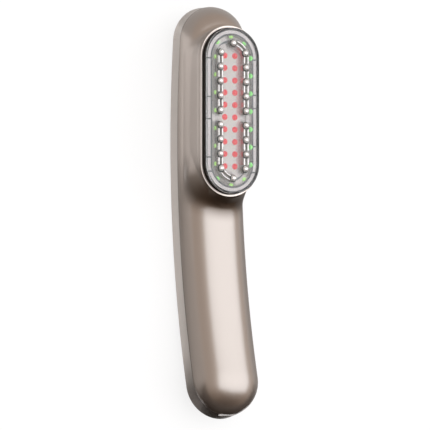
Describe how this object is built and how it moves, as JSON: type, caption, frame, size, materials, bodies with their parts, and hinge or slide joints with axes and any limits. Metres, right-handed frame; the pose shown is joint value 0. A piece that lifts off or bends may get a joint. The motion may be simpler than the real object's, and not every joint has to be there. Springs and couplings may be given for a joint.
{
  "type": "led facial massager",
  "caption": "Curved hand-held facial massager: satin casing, racetrack window with contact balls over red and green lamps, two buttons on the back, charging socket at the tip.",
  "frame": {"origin": "on the resting surface, at the middle of the small flat under the balance point of the back", "axes": "+Z out of the window side, +Y towards the head, +X across; it lies on its back"},
  "size_m": [0.0332, 0.2011, 0.0425],
  "materials": {
    "champagne": "satin",
    "back_paint": "satin",
    "seal_rubber": "matte",
    "clear_lens": "gloss",
    "chrome_ball": "polished",
    "contact_metal": "satin",
    "gold_pin": "polished",
    "pale_segment": "satin",
    "ring_grey": "satin",
    "green_glow": "gloss",
    "red_glow": "gloss",
    "pale_plate": "satin",
    "board_white": "satin",
    "board_green": "satin",
    "spreader_metal": "satin",
    "frame_grey": "matte",
    "screw_steel": "satin",
    "flat_cable": "satin",
    "chip_black": "matte",
    "coil_grey": "matte",
    "ceramic_tan": "satin",
    "socket_ivory": "satin",
    "cell_sleeve": "gloss",
    "foam": "matte",
    "lead_red": "satin",
    "lead_blue": "satin",
    "motor_steel": "satin",
    "usb_steel": "polished",
    "button_dark": "satin",
    "pipe_white": "gloss"
  },
  "bodies": {
    "casing": {"front_shell": "champagne", "back_cover": "back_paint", "shell_seal": "seal_rubber", "window_lens": "clear_lens", "lens_gasket": "seal_rubber", "ball_electrodes": "chrome_ball", "contact_strips": "contact_metal", "contact_pins": "gold_pin", "segment_ring": "pale_segment", "ring_board": "ring_grey", "ring_spacer": "frame_grey", "green_lamps": "green_glow", "red_lamps": "red_glow", "reflector_plate": "pale_plate", "lamp_board": "board_white", "heat_spreader": "spreader_metal", "lamp_carrier": "frame_grey", "lamp_screws": "screw_steel", "carrier_screws": "screw_steel", "head_cable": "flat_cable", "inner_frame": "frame_grey", "frame_screws": "screw_steel", "main_board": "board_green", "board_screws": "screw_steel", "control_chip": "chip_black", "charge_chip": "chip_black", "boost_coils": "coil_grey", "capacitors": "ceramic_tan", "cable_sockets": "socket_ivory", "cell": "cell_sleeve", "cell_tabs": "contact_metal", "cell_pad": "foam", "cell_leads": "lead_red", "motor_can": "motor_steel", "motor_sleeve": "seal_rubber", "motor_leads": "lead_blue", "usb_shell": "usb_steel", "usb_tongue": "chip_black", "usb_board": "board_green", "usb_screws": "screw_steel", "port_seal": "seal_rubber", "power_switch": "contact_metal", "mode_switch": "contact_metal", "light_pipes": "pipe_white", "status_lamps": "pipe_white"},
    "power_button": {"power_button": "button_dark"},
    "mode_button": {"mode_button": "button_dark"},
    "power_plunger": {"power_plunger": "chip_black"},
    "mode_plunger": {"mode_plunger": "chip_black"},
    "rotor": {"motor_shaft": "motor_steel", "swing_weight": "motor_steel"}
  },
  "joints": [
    {"name": "power_press", "type": "slide", "parent": "casing", "child": "power_button", "axis": [0, 0.101, 0.9949], "range_m": [0, 0.0005], "stiffness_N_per_m": 1500},
    {"name": "mode_press", "type": "slide", "parent": "casing", "child": "mode_button", "axis": [0, 0.101, 0.9949], "range_m": [0, 0.0005], "stiffness_N_per_m": 1500},
    {"name": "power_plunger_press", "type": "slide", "parent": "casing", "child": "power_plunger", "axis": [0, 0.101, 0.9949], "range_m": [0, 0.0005]},
    {"name": "mode_plunger_press", "type": "slide", "parent": "casing", "child": "mode_plunger", "axis": [0, 0.101, 0.9949], "range_m": [0, 0.0005]},
    {"name": "motor_spin", "type": "hinge", "parent": "casing", "child": "rotor", "pos_m": [0, -0.00385, 0.01607], "axis": [0, 1, -0.0091], "continuous": true}
  ],
  "couplings": [
    {"joint": "power_plunger_press", "follows": "power_press", "ratio": 1},
    {"joint": "mode_plunger_press", "follows": "mode_press", "ratio": 1}
  ]
}
